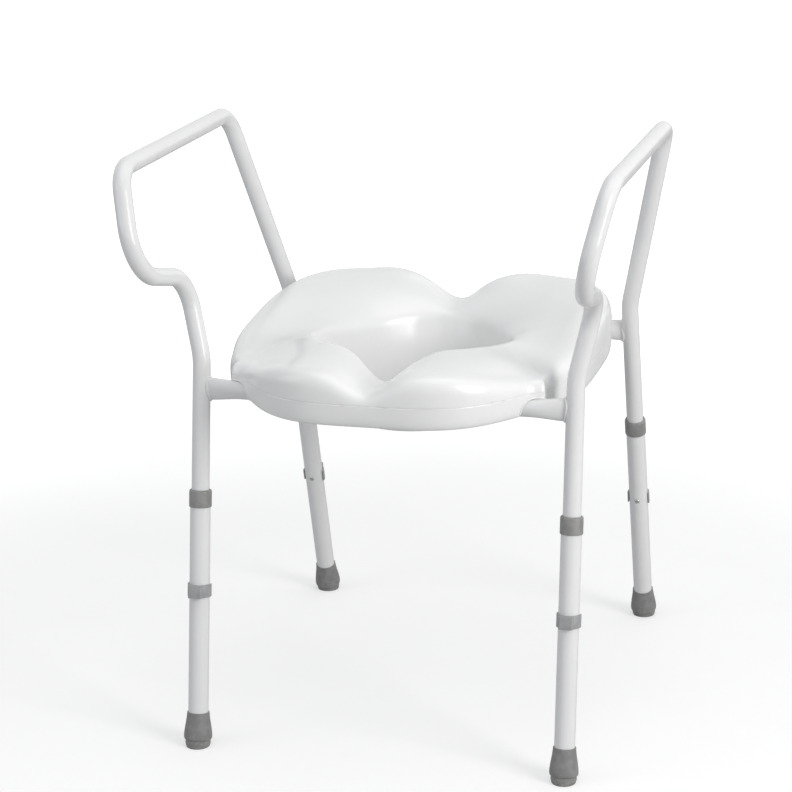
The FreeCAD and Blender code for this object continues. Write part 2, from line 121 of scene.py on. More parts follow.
def pick_points(piece, rule):
    """Selects the points of the piece in hand that the rule holds for, and says how many."""
    close()
    mesh = piece.data
    chosen = [rule(point.co) for point in mesh.vertices]
    mesh.vertices.foreach_set("select", chosen)
    mesh.edges.foreach_set("select", [chosen[a] and chosen[b] for a, b in (e.vertices for e in mesh.edges)])
    mesh.polygons.foreach_set("select", [all(chosen[v] for v in face.vertices) for face in mesh.polygons])
    bpy.ops.object.mode_set(mode="EDIT")
    return sum(chosen)


def pick_faces(piece, rule):
    """Selects the faces of the piece in hand that the rule (centre, normal) holds for."""
    close()
    mesh = piece.data
    chosen = [rule(face.center, face.normal) for face in mesh.polygons]
    mesh.vertices.foreach_set("select", [False] * len(mesh.vertices))
    mesh.edges.foreach_set("select", [False] * len(mesh.edges))
    mesh.polygons.foreach_set("select", chosen)
    bpy.ops.object.mode_set(mode="EDIT")
    bpy.ops.mesh.select_mode(type="FACE")
    return sum(chosen)


def finish_with(piece, kind, **settings):
    """Adds a modifier to the piece and applies it."""
    take(piece)
    modifier = piece.modifiers.new(kind.lower(), kind)
    for name, value in settings.items():
        setattr(modifier, name, value)
    bpy.ops.object.modifier_apply(modifier=modifier.name)


def smooth(piece, angle=35.0):
    take(piece)
    bpy.ops.object.shade_smooth_by_angle(angle=math.radians(angle))


def join(pieces, name):
    """Makes one piece of several."""
    let_go()
    for piece in pieces:
        piece.select_set(True)
    bpy.context.view_layer.objects.active = pieces[0]
    bpy.ops.object.join()
    pieces[0].name = name
    return pieces[0]


def copied(piece, name, place=Matrix.Identity(4)):
    """A copy with a mesh of its own, whose place is in its mesh."""
    twin = piece.copy()
    twin.data = piece.data.copy()
    twin.name = name
    twin.data.name = name
    bpy.context.scene.collection.objects.link(twin)
    twin.data.transform(place)
    return twin


def discard(piece):
    bpy.data.objects.remove(piece, do_unlink=True)


# %% [markdown]
# ## Shared effects
#
# No real surface is one flat colour. Sprayed enamel has a faint orange-peel ripple, moulded plastic has
# the grain of its tool, and everything picks up fine scratches and a little grime near the floor. Each
# effect is built once as a shader node group with named inputs. The groups give out only heights and
# masks, and the Principled shader that uses them stays in each material.

# %% A small kit for node groups
def new_group(name, inputs, outputs):
    """A shader node group, with its inputs as (name, kind, default) and its outputs as (name, kind)."""
    group = bpy.data.node_groups.new(name, "ShaderNodeTree")
    for label, kind, default in inputs:
        socket = group.interface.new_socket(label, in_out="INPUT", socket_type="NodeSocket" + kind)
        if default is not None:
            socket.default_value = default
    for label, kind in outputs:
        group.interface.new_socket(label, in_out="OUTPUT", socket_type="NodeSocket" + kind)
    start = group.nodes.new("NodeGroupInput")
    end = group.nodes.new("NodeGroupOutput")
    return group, start, end


def math_node(tree, operation, first, second=None, clamp=False):
    node = tree.nodes.new("ShaderNodeMath")
    node.operation = operation
    node.use_clamp = clamp
    for socket, value in zip(node.inputs, (first, second)):
        if value is None:
            continue
        if isinstance(value, (int, float)):
            socket.default_value = value
        else:
            tree.links.new(value, socket)
    return node.outputs[0]


def noise_node(tree, position, size, detail=2.0, roughness=0.5):
    """Noise whose features are about as large as size, a length in metres or a socket that holds one."""
    node = tree.nodes.new("ShaderNodeTexNoise")
    node.inputs["Detail"].default_value = detail
    node.inputs["Roughness"].default_value = roughness
    tree.links.new(position, node.inputs["Vector"])
    tree.links.new(math_node(tree, "DIVIDE", 1.0, size), node.inputs["Scale"])
    return node.outputs["Fac"]


def range_node(tree, value, low, high, to_low=0.0, to_high=1.0):
    node = tree.nodes.new("ShaderNodeMapRange")
    node.interpolation_type = "SMOOTHSTEP"
    for label, bound in (("From Min", low), ("From Max", high), ("To Min", to_low), ("To Max", to_high)):
        if isinstance(bound, (int, float)):
            node.inputs[label].default_value = bound
        else:
            tree.links.new(bound, node.inputs[label])
    tree.links.new(value, node.inputs["Value"])
    return node.outputs["Result"]


print("node helpers ready")

# %% [markdown]
# **Ripple** is the height of a skin: a coarse ripple and a fine grain on top of it. The size of each is a
# length in metres, so one group serves the enamel, the seat and the rubber.

# %% Ripple
ripple, ripple_in, ripple_out = new_group(
    "ripple",
    [("Position", "Vector", None), ("Wave", "Float", 0.002), ("Grain", "Float", 0.0004),
     ("Grain Share", "Float", 0.3)],
    [("Height", "Float")])
wave = noise_node(ripple, ripple_in.outputs["Position"], ripple_in.outputs["Wave"], detail=1.0)
grain = noise_node(ripple, ripple_in.outputs["Position"], ripple_in.outputs["Grain"], detail=3.0)
grain_part = math_node(ripple, "MULTIPLY", grain, ripple_in.outputs["Grain Share"])
ripple.links.new(math_node(ripple, "ADD", wave, grain_part), ripple_out.inputs["Height"])
print("ripple has", len(ripple.nodes), "nodes")

# %% [markdown]
# **Blotches** are large soft patches. They vary the roughness where hands have polished a surface, and
# tint a colour very slightly. **Scratches** are thin streaks: noise that is stretched along one axis and
# cut to a narrow band.

# %% Blotches and scratches
SCRATCH_BAND = 0.012
SCRATCH_PATCH_SIZE = 0.018
SCRATCH_PATCH_EDGE = 0.12
SCRATCH_WAYS = (((0.3, 0.0, 0.4), (1.0, 0.04, 1.0)), ((0.0, 0.7, 1.9), (1.0, 0.05, 1.0)))

blotches, blotches_in, blotches_out = new_group(
    "blotches",
    [("Position", "Vector", None), ("Size", "Float", 0.05), ("Low", "Float", 0.4), ("High", "Float", 0.6)],
    [("Mask", "Float")])
cloud = noise_node(blotches, blotches_in.outputs["Position"], blotches_in.outputs["Size"], detail=4.0)
blotches.links.new(
    range_node(blotches, cloud, blotches_in.outputs["Low"], blotches_in.outputs["High"]),
    blotches_out.inputs["Mask"])

scratches, scratches_in, scratches_out = new_group(
    "scratches",
    [("Position", "Vector", None), ("Width", "Float", 0.0006), ("Density", "Float", 0.5)],
    [("Mask", "Float")])
streaks = []
for turn, stretch in SCRATCH_WAYS:
    mapping = scratches.nodes.new("ShaderNodeMapping")
    mapping.inputs["Rotation"].default_value = turn
    mapping.inputs["Scale"].default_value = stretch
    scratches.links.new(scratches_in.outputs["Position"], mapping.inputs["Vector"])
    line = noise_node(scratches, mapping.outputs["Vector"], scratches_in.outputs["Width"], detail=0.0)
    off_middle = math_node(scratches, "ABSOLUTE", math_node(scratches, "SUBTRACT", line, 0.5))
    streaks.append(range_node(scratches, off_middle, 0.0, SCRATCH_BAND, 1.0, 0.0))
patch = noise_node(scratches, scratches_in.outputs["Position"], SCRATCH_PATCH_SIZE, detail=2.0)
limit = math_node(scratches, "SUBTRACT", 1.0, scratches_in.outputs["Density"])
here = range_node(scratches, patch, limit, math_node(scratches, "ADD", limit, SCRATCH_PATCH_EDGE))
either = math_node(scratches, "MAXIMUM", streaks[0], streaks[1])
scratches.links.new(math_node(scratches, "MULTIPLY", either, here), scratches_out.inputs["Mask"])
print("blotches and scratches ready")

# %% [markdown]
# **Grime** gathers low on the object. Its mask rises towards the floor and is broken up by noise, so that
# it never ends in a straight line.

# %% Grime
GRIME_FROM, GRIME_TO = 0.42, 0.62

grime, grime_in, grime_out = new_group(
    "grime",
    [("Position", "Vector", None), ("Clean Above", "Float", 0.06), ("Size", "Float", 0.006)],
    [("Mask", "Float")])
split = grime.nodes.new("ShaderNodeSeparateXYZ")
grime.links.new(grime_in.outputs["Position"], split.inputs["Vector"])
lowness = range_node(grime, split.outputs["Z"], 0.0, grime_in.outputs["Clean Above"], 1.0, 0.0)
specks = noise_node(grime, grime_in.outputs["Position"], grime_in.outputs["Size"], detail=5.0, roughness=0.65)
broken = range_node(grime, specks, GRIME_FROM, GRIME_TO)
grime.links.new(math_node(grime, "MULTIPLY", lowness, broken), grime_out.inputs["Mask"])
print("grime ready")

# %% [markdown]
# ## Finishes
#
# Each finish is one Principled shader. A helper starts the material and places shared groups in it, and
# each finish then links its own colours, roughness and bump.

# %% A small kit for finishes
class Finish:
    """One material: its Principled shader, its Object coordinates and the links between them."""

    def __init__(self, name, **plain):
        self.material = bpy.data.materials.new(name)
        self.material.use_nodes = True
        self.tree = self.material.node_tree
        self.shader = next(node for node in self.tree.nodes if node.type == "BSDF_PRINCIPLED")
        self.position = self.tree.nodes.new("ShaderNodeTexCoord").outputs["Object"]
        for label, value in plain.items():
            self.shader.inputs[label.replace("_", " ")].default_value = value

    def effect(self, group, **values):
        """Places a shared group, fed with the position, and gives its output."""
        node = self.tree.nodes.new("ShaderNodeGroup")
        node.node_tree = group
        self.tree.links.new(self.position, node.inputs["Position"])
        for label, value in values.items():
            node.inputs[label.replace("_", " ")].default_value = value
        return node.outputs[0]

    def tint(self, mask, below, above):
        """A colour that goes from below to above with the mask; below may be another tint."""
        node = self.tree.nodes.new("ShaderNodeMix")
        node.data_type = "RGBA"
        self.tree.links.new(mask, node.inputs["Factor"])
        for label, colour in (("A", below), ("B", above)):
            socket = next(s for s in node.inputs if s.name == label and s.type == "RGBA")
            if isinstance(colour, tuple):
                socket.default_value = (*colour, 1.0)
            else:
                self.tree.links.new(colour, socket)
        return next(s for s in node.outputs if s.type == "RGBA")

    def colour(self, tint):
        self.tree.links.new(tint, self.shader.inputs["Base Color"])

    def roughness(self, mask, low, high):
        self.tree.links.new(range_node(self.tree, mask, 0.0, 1.0, low, high), self.shader.inputs["Roughness"])

    def bump(self, height, distance, strength=1.0):
        """Stands the height out of the surface; distance is in metres."""
        node = self.tree.nodes.new("ShaderNodeBump")
        node.inputs["Distance"].default_value = distance
        node.inputs["Strength"].default_value = strength
        self.tree.links.new(height, node.inputs["Height"])
        self.tree.links.new(node.outputs["Normal"], self.shader.inputs["Normal"])


print("finish helper ready")

# %% [markdown]
# **White enamel** covers the tubes. It is a baked powder coat: nearly white, glossy, with a ripple about
# two millimetres across, and patches where hands have polished it a little.

# %% White enamel
enamel = Finish("white_enamel", Specular_IOR_Level=0.4, Coat_Weight=0.15, Coat_Roughness=0.16)
enamel_patches = enamel.effect(blotches, Size=0.07, Low=0.3, High=0.7)
enamel_scratches = enamel.effect(scratches, Width=0.0009, Density=0.36)
enamel_base = enamel.tint(enamel_patches, (0.795, 0.795, 0.798), (0.807, 0.807, 0.808))
enamel.colour(enamel.tint(enamel_scratches, enamel_base, (0.775, 0.775, 0.775)))
enamel.roughness(enamel_patches, 0.21, 0.26)
enamel.bump(enamel.effect(ripple, Wave=0.0022, Grain=0.0005, Grain_Share=0.15), 0.00006)
print("made", enamel.material.name)

# %% [markdown]
# **Seat plastic** is a thick blown polypropylene. Its gloss is softer than the enamel's, and light goes
# a little way into it, so shadows on it stay milky. That is what the small subsurface share is for.

# %% Seat plastic
seat_plastic = Finish("seat_plastic", Coat_Weight=0.15, Coat_Roughness=0.2, Subsurface_Weight=0.12,
                      Subsurface_Radius=(0.004, 0.004, 0.004), Subsurface_Scale=1.0)
seat_patches = seat_plastic.effect(blotches, Size=0.12, Low=0.3, High=0.7)
seat_scratches = seat_plastic.effect(scratches, Width=0.0007, Density=0.36)
seat_base = seat_plastic.tint(seat_patches, (0.862, 0.863, 0.862), (0.872, 0.871, 0.867))
seat_plastic.colour(seat_plastic.tint(seat_scratches, seat_base, (0.845, 0.845, 0.84)))
seat_plastic.roughness(seat_patches, 0.22, 0.26)
seat_plastic.bump(seat_plastic.effect(ripple, Wave=0.006, Grain=0.0006, Grain_Share=0.06), 0.00008)
print("made", seat_plastic.material.name)


# %% [markdown]
# **Grey plastics.** The collars and the height clips are moulded in grey nylon with a fine sparked
# texture. They differ only in shade, so one function makes both. The unseen clips under the seat are
# the same plastic left white.

# %% Grey plastics
SCUFF_PALER = 1.25
GLOSS_SPREAD = 0.14


def moulded_plastic(name, dark, light, gloss):
    plastic = Finish(name)
    patches = plastic.effect(blotches, Size=0.012)
    marks = plastic.effect(scratches, Width=0.0005, Density=0.5)
    paler = tuple(min(1.0, value * SCUFF_PALER) for value in light)
    plastic.colour(plastic.tint(marks, plastic.tint(patches, dark, light), paler))
    plastic.roughness(patches, gloss, gloss + GLOSS_SPREAD)
    plastic.bump(plastic.effect(ripple, Wave=0.0009, Grain=0.00025, Grain_Share=0.8), 0.00004)
    return plastic.material


collar_plastic = moulded_plastic("collar_plastic", (0.245, 0.245, 0.24), (0.285, 0.285, 0.28), 0.36)
clip_plastic = moulded_plastic("clip_plastic", (0.33, 0.335, 0.34), (0.37, 0.37, 0.375), 0.32)
hidden_plastic = moulded_plastic("hidden_plastic", (0.74, 0.75, 0.75), (0.80, 0.80, 0.79), 0.40)
print("made", collar_plastic.name, clip_plastic.name, hidden_plastic.name)

# %% [markdown]
# **Grey rubber** is dull, a little warm, and dusty where it meets the floor. **Plain steel** is drawn
# wire and pressed washers: metal with fine streaks in its roughness.

# %% Rubber and steel
rubber = Finish("grey_rubber", Specular_IOR_Level=0.35)
rubber_patches = rubber.effect(blotches, Size=0.010)
rubber_dust = rubber.effect(grime, Clean_Above=0.022, Size=0.0035)
rubber_base = rubber.tint(rubber_patches, (0.218, 0.217, 0.215), (0.258, 0.257, 0.255))
rubber.colour(rubber.tint(rubber_dust, rubber_base, (0.31, 0.302, 0.29)))
rubber.roughness(rubber_patches, 0.52, 0.68)
rubber.bump(rubber.effect(ripple, Wave=0.0011, Grain=0.0003, Grain_Share=0.9), 0.00007)

steel = Finish("plain_steel", Metallic=1.0)
steel_patches = steel.effect(blotches, Size=0.006)
steel_lines = steel.effect(scratches, Width=0.0004, Density=0.7)
steel.colour(steel.tint(steel_patches, (0.52, 0.51, 0.50), (0.62, 0.62, 0.61)))
steel.roughness(steel_lines, 0.26, 0.5)
steel.bump(steel_lines, 0.00002)
print("made", rubber.material.name, steel.material.name)


# %% Hand out the finishes
FINISHES = {
    "white_enamel": enamel.material,
    "seat_plastic": seat_plastic.material,
    "collar_plastic": collar_plastic,
    "clip_plastic": clip_plastic,
    "hidden_plastic": hidden_plastic,
    "grey_rubber": rubber.material,
    "plain_steel": steel.material,
}


def coat(piece, slot):
    """Gives a piece the finish of a material slot, and nothing else."""
    piece.data.materials.clear()
    piece.data.materials.append(FINISHES[slot])


for part in frame["record"]["subparts"]:
    coat(frame["nodes"][part["node"]], part["material_slot"])


def settle(piece, body, slot, *nodes):
    """The last step of each new piece: its finish, the body that it rides on, and what it stands for."""
    coat(piece, slot)
    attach(piece, body)
    if nodes:
        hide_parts(*nodes)
    return piece


# %% [markdown]
# ## The seat
#
# The seat is one blown shell: a broad contoured ring with a deep V at the front, raised thighs, a high
# back with a dip in its middle, and a funnel that guides into the pan. The CAD solid is a smooth surface
# over a net of control points. A subdivision surface over the same net is the same shape, so the seat
# starts as a torus with as many rings and sides as the net, whose points are then put in their places.
# That gives even, four-sided faces where light can run smoothly.

# %% The seat's driving sizes, in millimetres over the crossbars
bar_low, bar_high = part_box("crossbar_front")
BAR_FRONT_Y = (bar_low.y + bar_high.y) / 2 / MM
BAR_HEIGHT = (bar_low.z + bar_high.z) / 2 / MM
rear_low, rear_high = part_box("crossbar_rear")
BAR_SPACING = (rear_low.y + rear_high.y) / 2 / MM - BAR_FRONT_Y
SKIRT_DROP = 10.7
GUARD_DROP = 58.0
GUARD_WALL = 3.6
GUARD_HALF_WIDTH = 97.0
GUARD_FRONT_GAP = 60.0
GUARD_REAR_GAP = 77.0
GUARD_HALF_LENGTH = (BAR_SPACING - GUARD_FRONT_GAP - GUARD_REAR_GAP) / 2
GUARD_MIDDLE = GUARD_FRONT_GAP + GUARD_HALF_LENGTH

# One row per station from the front round the right-hand side to the rear:
# skirt x, skirt y, rim x, rim y, the heights of the shoulder, of the crest and of the rim, how broadly
# the shoulder rolls over into the skirt, and how deep a groove runs down the skirt.
SEAT_STATIONS = [
    (0, -93, 0, 12, 31, 27, 22, 12, 0),
    (40, -93, 18, 14, 49, 41, 32, 14, 0),
    (80, -89, 41, 29, 56, 55, 49, 15, 0),
    (119, -72, 64, 36, 52, 57, 59, 15, 0),
    (150, -43, 85, 46, 43, 53, 60, 14, 0),
    (172, -14, 101, 61, 36, 49, 59, 13, 0),
    (187, 0, 110, 75, 34, 47, 57, 13, 0),
    (197, 6, 115, 88, 34, 46, 55, 12, 0),
    (200, 12, 118, 99, 35, 45, 53, 12, 7),
    (204, 24, 120, 112, 39, 44, 51, 13, 0),
    (213, 54, 122, 134, 44, 44, 47, 16, 0),
    (224, 102, 121, 160, 49, 44, 42, 18, 0),
    (228, 160, 116, 184, 55, 46, 38, 19, 0),
    (228, 222, 108, 212, 61, 48, 32, 19, 0),
    (225, 284, 96, 242, 64, 53, 27, 19, 0),
    (212, 336, 80, 268, 67, 57, 26, 19, 0),
    (184, 378, 61, 288, 68, 58, 28, 19, 0),
    (143, 397, 44, 302, 68, 57, 28, 19, 0),
    (98, 402, 28, 311, 69, 52, 28, 19, 0),
    (49, 402, 13, 317, 54, 42, 28, 18, 0),
    (0, 402, 0, 318, 31, 31, 28, 15, 0),
]
print("crossbars at y =", round(BAR_FRONT_Y, 1), "mm, spacing", round(BAR_SPACING, 1), "and height",
      round(BAR_HEIGHT, 1))


# %% Sections of the seat
def seat_section(station):
    """The closed outline at one station, as points in millimetres from the front crossbar's middle."""
    skirt_x, skirt_y, rim_x, rim_y, shoulder, crest, rim, roll, groove = station
    rim_at = Vector((rim_x, rim_y, 0))
    reach = Vector((skirt_x, skirt_y, 0)) - rim_at
    width = reach.length
    side = width - groove
    spoke = rim_at - Vector((0, GUARD_MIDDLE, 0))
    edge = spoke / math.hypot(spoke.x / GUARD_HALF_WIDTH, spoke.y / GUARD_HALF_LENGTH)
    funnel = spoke - edge
    taper = funnel.length
    bottom = -SKIRT_DROP
    lowest = -GUARD_DROP

    def wall(height, offset=0.0):
        return offset - taper * (rim - height) / (rim - lowest), height

    outline = [
        # up the funnel to the rim
        wall(bottom + 4), wall(rim - 15, 2), (1.5, rim - 1.5),
        # over the crest to the shoulder
        (width * 0.18, rim * 0.45 + crest * 0.55), (width * 0.40, crest),
        (width * 0.6, crest * 0.4 + shoulder * 0.6), (width - roll * 1.9, shoulder + 0.3),
        # down the skirt and under its rolled edge
        (width - groove / 2 - roll * 0.55, shoulder - roll * 0.05), (side + 0.5, shoulder - roll * 0.75),
        (side + 0.5, shoulder * 0.4 + bottom * 0.6), (side - 0.5, bottom + 9), (side - 3, bottom + 2),
        (side - 9, bottom - 0.5), (width - 24, bottom),
        # back across the underside
        (width * 0.4, bottom),
        # down the outer face of the guard, round its edge and up again
        wall(bottom, 14), wall(bottom - 3, GUARD_WALL + 2), wall(bottom - 14, GUARD_WALL),
        wall(lowest + 12, GUARD_WALL), wall(lowest + 1, GUARD_WALL), wall(lowest - 1, GUARD_WALL / 2),
        wall(lowest + 1), wall(lowest + 16),
    ]
    outward = reach / width
    inward = funnel / taper
    return [rim_at + (outward if t > 0 else inward) * t + Vector((0, 0, z)) for t, z in outline]


def net_through(rows, rounds=30):
    """The control net whose smooth ring passes through the given rows, found in a few rounds."""
    net = [list(row) for row in rows]
    for _ in range(rounds):
        blended = [[(before + at * 4 + after) / 6 for before, at, after in zip(*neighbours)]
                   for neighbours in zip(net[-1:] + net[:-1], net, net[1:] + net[:1])]
        net = [[point + wanted - smoothed for point, wanted, smoothed in zip(*columns)]
               for columns in zip(net, rows, blended)]
    return net


right_half = [seat_section(station) for station in SEAT_STATIONS]
left_half = [[Vector((-point.x, point.y, point.z)) for point in row] for row in right_half[-2:0:-1]]
seat_net = net_through(right_half + left_half)
print("the seat's net has", len(seat_net), "rings of", len(seat_net[0]), "points")

# %% From a torus to the seat
SEAT_LEVELS = 3

let_go()
bpy.ops.mesh.primitive_torus_add(major_segments=len(seat_net), minor_segments=len(seat_net[0]),
                                 major_radius=0.17, minor_radius=0.05)
seat = bpy.context.active_object
seat.name = "moulded_seat"
seat_origin = Vector((0, BAR_FRONT_Y, BAR_HEIGHT)) * MM
for point, place in zip(seat.data.vertices, [place for row in seat_net for place in row]):
    point.co = seat_origin + place * MM
finish_with(seat, "SUBSURF", levels=SEAT_LEVELS, render_levels=SEAT_LEVELS, use_limit_surface=True)
edit("FACE")
bpy.ops.mesh.select_all(action="SELECT")
bpy.ops.mesh.normals_make_consistent(inside=False)
close()
print("the seat has", len(seat.data.polygons), "faces, top at",
      round(max(point.co.z for point in seat.data.vertices), 4))

# %% [markdown]
# ### The parting line
#
# The two halves of the mould meet round the skirt, and leave a fine line there. It is cut into the mesh
# with a bisecting plane, through the skirt's own faces only. The new edges are bevelled, and the loop in
# the middle of that bevel is pressed in by a fraction of a millimetre.

# %% Cut the parting line
PARTING_RISE = 18.0 * MM
PARTING_HALF_WIDTH = 0.6 * MM
PARTING_DEPTH = 0.3 * MM
SKIRT_BAND = 8.0 * MM
SKIRT_FACING = 0.35
OUTSIDE_GUARD = 150.0 * MM
seat_middle = seat_origin + Vector((0, BAR_SPACING / 2, 0)) * MM
parting_height = seat_origin.z + PARTING_RISE


def on_skirt(centre, normal):
    outward = Vector((centre.x - seat_middle.x, centre.y - seat_middle.y, 0)).normalized()
    return abs(centre.z - parting_height) < SKIRT_BAND and normal.dot(outward) > SKIRT_FACING


take(seat)
found = pick_faces(seat, on_skirt)
bpy.ops.mesh.bisect(plane_co=(0, 0, parting_height), plane_no=(0, 0, 1), use_fill=False,
                    clear_inner=False, clear_outer=False, threshold=0.00001)
bpy.ops.mesh.bevel(offset=PARTING_HALF_WIDTH, offset_type="OFFSET", segments=2, affect="EDGES")
in_line = pick_points(seat, lambda at: abs(at.z - parting_height) < 0.02 * MM
                      and (at.xy - seat_middle.xy).length > OUTSIDE_GUARD)
bpy.ops.transform.shrink_fatten(value=-PARTING_DEPTH)
close()
print("parting line crosses", found, "faces and presses in", in_line, "points")

# %% [markdown]
# ### Channels for the crossbars
#
# Under the seat each crossbar lies in a channel with a round top. The cutter is a cylinder along the
# bar, whose lower half is pulled straight down, so that it opens below. Square pockets beside it take
# the saddle clips. Where a channel leaves the skirt it shows as an arched notch.

# %% Channel cutters
CHANNEL_RADIUS = 12.5 * MM
CHANNEL_LENGTH = 500.0 * MM
CHANNEL_SINK = 30.0 * MM
POCKET_GAP = 0.6 * MM
POCKET_SINK = 20.0 * MM
SADDLE_WALL = 3.0 * MM
bar_lines = (seat_origin, seat_origin + Vector((0, BAR_SPACING, 0)) * MM)


def channel_cutter(middle):
    let_go()
    bpy.ops.mesh.primitive_cylinder_add(vertices=96, radius=CHANNEL_RADIUS, depth=CHANNEL_LENGTH,
                                        location=middle, rotation=(0, math.pi / 2, 0))
    cutter = bpy.context.active_object
    bpy.ops.object.transform_apply(location=True, rotation=True, scale=True)
    pick_points(cutter, lambda at: at.z < middle.z - 0.1 * MM)
    bpy.ops.transform.translate(value=(0, 0, -CHANNEL_SINK))
    close()
    return cutter


def block_cutter(low, high):
    let_go()
    bpy.ops.mesh.primitive_cube_add(size=1, location=(low + high) / 2)
    cutter = bpy.context.active_object
    bpy.ops.transform.resize(value=high - low)
    bpy.ops.object.transform_apply(location=True, rotation=True, scale=True)
    return cutter


def pocket_cutters(corner, middle):
    """Room for a saddle clip: a deep block over the bar and a shallow one for its flange."""
    low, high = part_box("saddle_clip_" + corner)
    gap = Vector((POCKET_GAP, POCKET_GAP, 0))
    half = min(high.y - middle.y, middle.y - low.y) + POCKET_GAP
    flange_top = low.z + SADDLE_WALL
    below = low.z - POCKET_SINK
    yield block_cutter(Vector((low.x - POCKET_GAP, middle.y - half, below)),
                       Vector((high.x + POCKET_GAP, middle.y + half, high.z + POCKET_GAP)))
    yield block_cutter(Vector((low.x, low.y, below)) - gap, Vector((high.x, high.y, flange_top)) + gap)


seat_surface = BVHTree.FromPolygons([v.co.copy() for v in seat.data.vertices],
                                    [tuple(face.vertices) for face in seat.data.polygons])
cutters = [channel_cutter(middle) for middle in bar_lines]
for corner in CORNERS:
    cutters += pocket_cutters(corner, bar_lines[0 if corner.startswith("front") else 1])
for cutter in cutters:
    finish_with(seat, "BOOLEAN", operation="DIFFERENCE", solver="EXACT", object=cutter)
    discard(cutter)
print("after", len(cutters), "cuts the seat has", len(seat.data.polygons), "faces")

# %% [markdown]
# ### Lips of the notches
#
# A thin rounded lip follows each arch. Its line is found by looking along the bar at the skirt, from
# outside, at points round the channel's outline. A curve with a round section then runs along it.

# %% Notch lips
LIP_RADIUS = 1.1 * MM
LIP_OFFSET = 0.2 * MM
LIP_DROP = 8.0 * MM
LIP_SINK = 0.3 * MM
OUTSIDE = 400.0 * MM


def arch(radius, drop, steps=24, side_steps=6):
    """The channel's outline as (y, z) offsets: up one side, over the top and down the other."""
    rise = [(-radius, -drop + drop * step / side_steps) for step in range(side_steps)]
    over = [(-radius * math.cos(math.pi * step / steps), radius * math.sin(math.pi * step / steps))
            for step in range(steps + 1)]
    return rise + over + [(-y, z) for y, z in reversed(rise)]


def notch_lip(middle, side):
    let_go()
    line = []
    for y, z in arch(CHANNEL_RADIUS + LIP_OFFSET, LIP_DROP):
        start = Vector((side * OUTSIDE, middle.y + y, middle.z + z))
        hit = seat_surface.ray_cast(start, Vector((-side, 0, 0)))[0]
        if hit is not None:
            line.append(hit - Vector((side * LIP_SINK, 0, 0)))
    curve = bpy.data.curves.new("lip", "CURVE")
    curve.dimensions = "3D"
    curve.bevel_depth = LIP_RADIUS
    curve.bevel_resolution = 4
    curve.use_fill_caps = True
    spline = curve.splines.new("POLY")
    spline.points.add(len(line) - 1)
    for point, place in zip(spline.points, line):
        point.co = (*place, 1.0)
    lip = bpy.data.objects.new("lip", curve)
    bpy.context.scene.collection.objects.link(lip)
    take(lip)
    bpy.ops.object.convert(target="MESH")
    return bpy.context.active_object


lips = [notch_lip(middle, side) for middle in bar_lines for side in (-1, 1)]
seat = join([seat] + lips, "moulded_seat")
smooth(seat, 40)
settle(seat, "seat", "seat_plastic", "seat")
print("the seat and its", len(lips), "lips have", len(seat.data.polygons), "faces")

# %% [markdown]
# ## Turned pieces
#
# The feet and collars are round, so they are made as on a lathe: a circle is pulled from ring to ring,
# and each ring has its own radius and height along the leg. Each is modelled once, upright, and copied
# to the four legs with the leg's own lean.
#
# A turned piece's points aren't always numbered alike from one run to the next, and merging points that
# lie close together keeps a different one when the numbers differ. So the points are numbered again, by
# their distance from a spot off to one side, and the same script gives the same mesh.

# %% Order by place
ORDER_FROM = (0.413, 0.929, -1.37)


def put_in_order():
    """Numbers the points, edges and faces that are open for editing by place, and selects them all."""
    bpy.context.scene.cursor.location = ORDER_FROM
    bpy.ops.mesh.select_all(action="SELECT")
    bpy.ops.mesh.sort_elements(type="CURSOR_DISTANCE", elements={"VERT", "EDGE", "FACE"})
    bpy.context.scene.cursor.location = (0, 0, 0)


# %% A lathe
LATHE_SIDES = 72


def turned(name, rings, solid):
    """A piece of revolution round Z, of rings given as (radius, height) in millimetres.

    A solid one has a face at each end. Otherwise the last ring joins the first, as in a hoop.
    """
    let_go()
    radius, height = rings[0]
    bpy.ops.mesh.primitive_circle_add(vertices=LATHE_SIDES, radius=radius * MM,
                                      fill_type="NGON" if solid else "NOTHING")
    piece = bpy.context.active_object
    piece.name = name
    edit("EDGE")
    bpy.ops.mesh.select_all(action="SELECT")
    bpy.ops.transform.translate(value=(0, 0, height * MM))
    for next_radius, next_height in rings[1:]:
        rise = (0, 0, (next_height - height) * MM)
        bpy.ops.mesh.extrude_region_move(TRANSFORM_OT_translate={"value": rise})
        scale = next_radius / radius
        bpy.ops.transform.resize(value=(scale, scale, 1), center_override=(0, 0, next_height * MM))
        radius, height = next_radius, next_height
    if not solid:
        bpy.ops.mesh.select_all(action="DESELECT")
        bpy.ops.mesh.select_non_manifold()
        bpy.ops.mesh.bridge_edge_loops()
    put_in_order()
    bpy.ops.mesh.normals_make_consistent(inside=False)
    close()
    return piece


def leg_place(corner):
    """Z runs up the leg from the floor, -Y faces the height clip and X runs across."""
    slide = joints["leg_height_" + corner]
    up = -Vector(slide["axis"]).normalized()
    back = -Vector(joints["clip_pull_" + corner]["axis"]).normalized()
    across = back.cross(up)
    turn = Matrix((across, back, up)).transposed().to_4x4()
    return Matrix.Translation(Vector(slide["pos_m"])) @ turn


leg_places = {corner: leg_place(corner) for corner in CORNERS}
for corner, place in leg_places.items():
    print("leg", corner, "stands at", [round(value, 3) for value in place.translation])

# %% [markdown]
# ### Rubber feet
#
# A ferrule is a cup of rubber pushed over the tube. It has a thin lip at the top, flares out to a bead
# low down, and steps in at a groove over its sole. The lathe gives the cup, a plane trims the sole flat
# where it stands on the floor, and insets press two shallow rings into the sole for grip.

